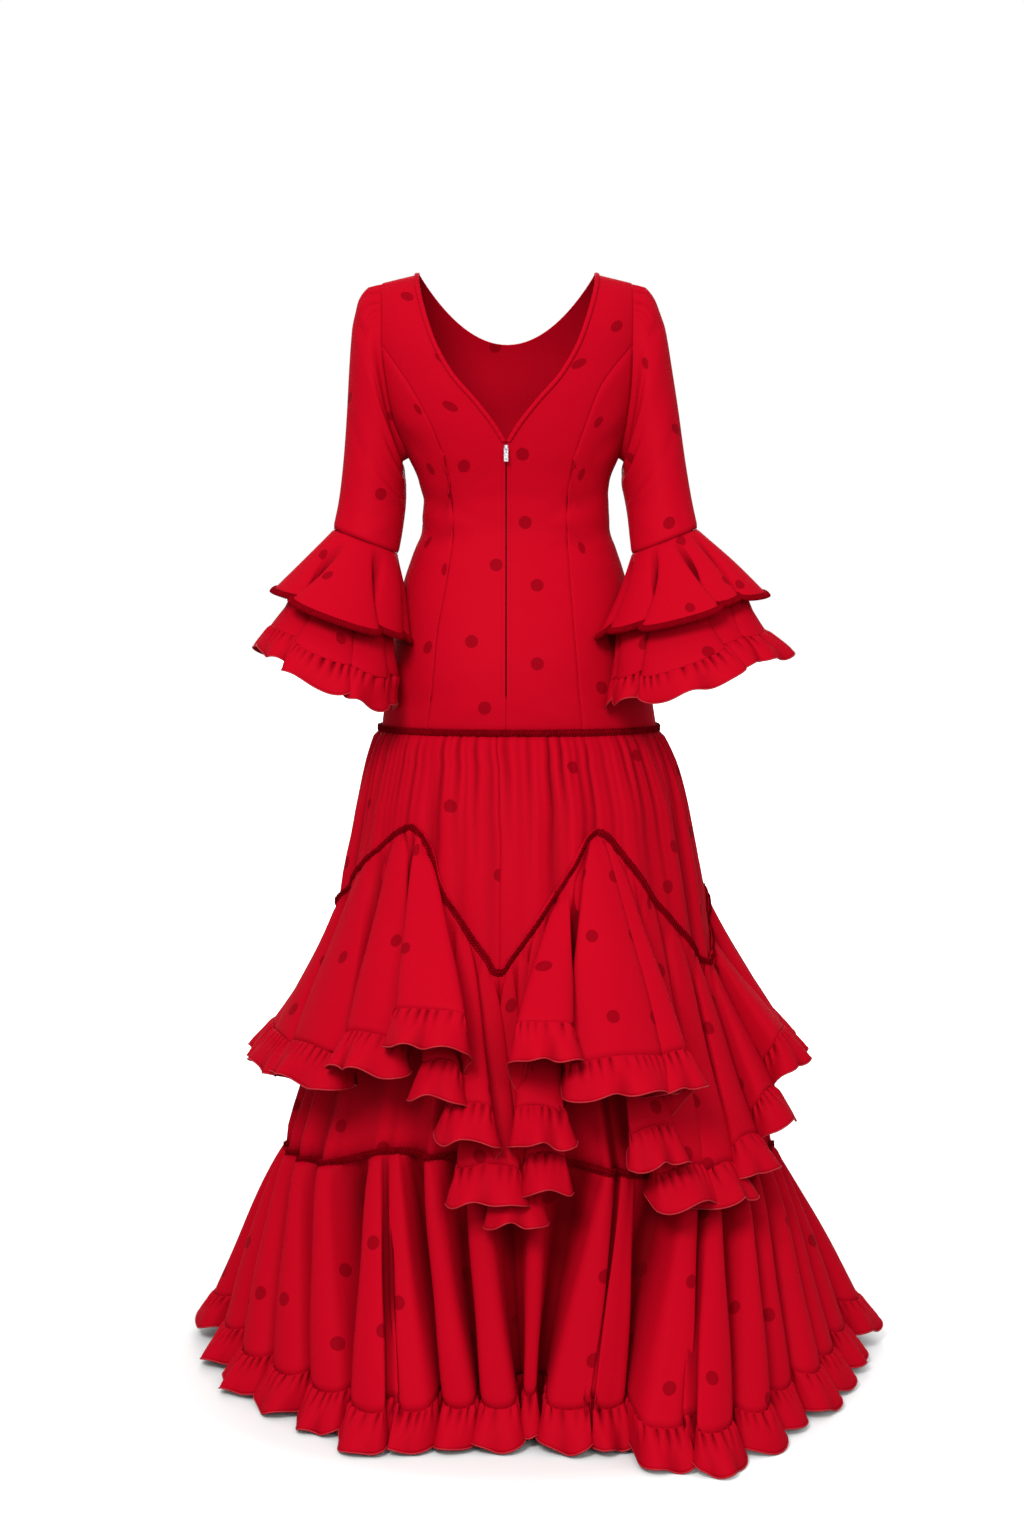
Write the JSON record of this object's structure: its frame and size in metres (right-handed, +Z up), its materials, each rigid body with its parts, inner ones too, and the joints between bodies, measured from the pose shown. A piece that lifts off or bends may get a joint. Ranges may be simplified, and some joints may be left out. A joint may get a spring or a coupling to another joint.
{
  "type": "flamenco dress",
  "caption": "Long-sleeved flamenco dress with a deep V back, flounced cuffs, gathered skirt, zigzag middle flounce and full bottom flounce.",
  "frame": {"origin": "midway between the two shoulder seams at shoulder height, where the wearer's shoulders hold the dress", "axes": "+Z up, the front of the dress faces -Y, +X is the wearer's left"},
  "size_m": [0.9224, 0.9049, 1.453],
  "materials": {
    "red_cloth": "matte crepe with darker red dots",
    "ruffle_cloth": "plain matte crepe",
    "dark_braid": "looped braid",
    "zip_tape_cloth": "woven tape",
    "zip_silver": "polished"
  },
  "bodies": {
    "dress": {"bodice_back_left": "red_cloth", "bodice_back_right": "red_cloth", "bodice_side_back_left": "red_cloth", "bodice_side_back_right": "red_cloth", "bodice_side_front_left": "red_cloth", "bodice_side_front_right": "red_cloth", "bodice_front": "red_cloth", "neck_binding": "red_cloth", "zip_tape": "zip_tape_cloth", "zip_slider": "zip_silver", "sleeve_left": "red_cloth", "cuff_flounce_left": "red_cloth", "cuff_braid_left": "dark_braid", "cuff_lower_flounce_left": "red_cloth", "cuff_ruffle_left": "red_cloth", "sleeve_right": "red_cloth", "cuff_flounce_right": "red_cloth", "cuff_braid_right": "dark_braid", "cuff_lower_flounce_right": "red_cloth", "cuff_ruffle_right": "red_cloth", "hip_braid": "dark_braid", "under_skirt_back_left": "red_cloth", "under_skirt_front_left": "red_cloth", "under_skirt_front_right": "red_cloth", "under_skirt_back_right": "red_cloth", "zigzag_braid": "dark_braid", "middle_flounce_back_left": "red_cloth", "middle_flounce_front_left": "red_cloth", "middle_flounce_front_right": "red_cloth", "middle_flounce_back_right": "red_cloth", "middle_flounce_ruffle_back_left": "ruffle_cloth", "middle_flounce_ruffle_front_left": "ruffle_cloth", "middle_flounce_ruffle_front_right": "ruffle_cloth", "middle_flounce_ruffle_back_right": "ruffle_cloth", "lower_braid": "dark_braid", "bottom_flounce_back_left": "red_cloth", "bottom_flounce_front_left": "red_cloth", "bottom_flounce_front_right": "red_cloth", "bottom_flounce_back_right": "red_cloth", "bottom_flounce_ruffle_back_left": "ruffle_cloth", "bottom_flounce_ruffle_front_left": "ruffle_cloth", "bottom_flounce_ruffle_front_right": "ruffle_cloth", "bottom_flounce_ruffle_back_right": "ruffle_cloth"},
    "pull_tab": {"zip_pull": "zip_silver"}
  },
  "joints": [
    {"name": "zip_pull_hinge", "type": "hinge", "parent": "dress", "child": "pull_tab", "pos_m": [0.001, 0.09897, -0.24412], "axis": [1, 0, 0], "range_deg": [0, 160]}
  ]
}
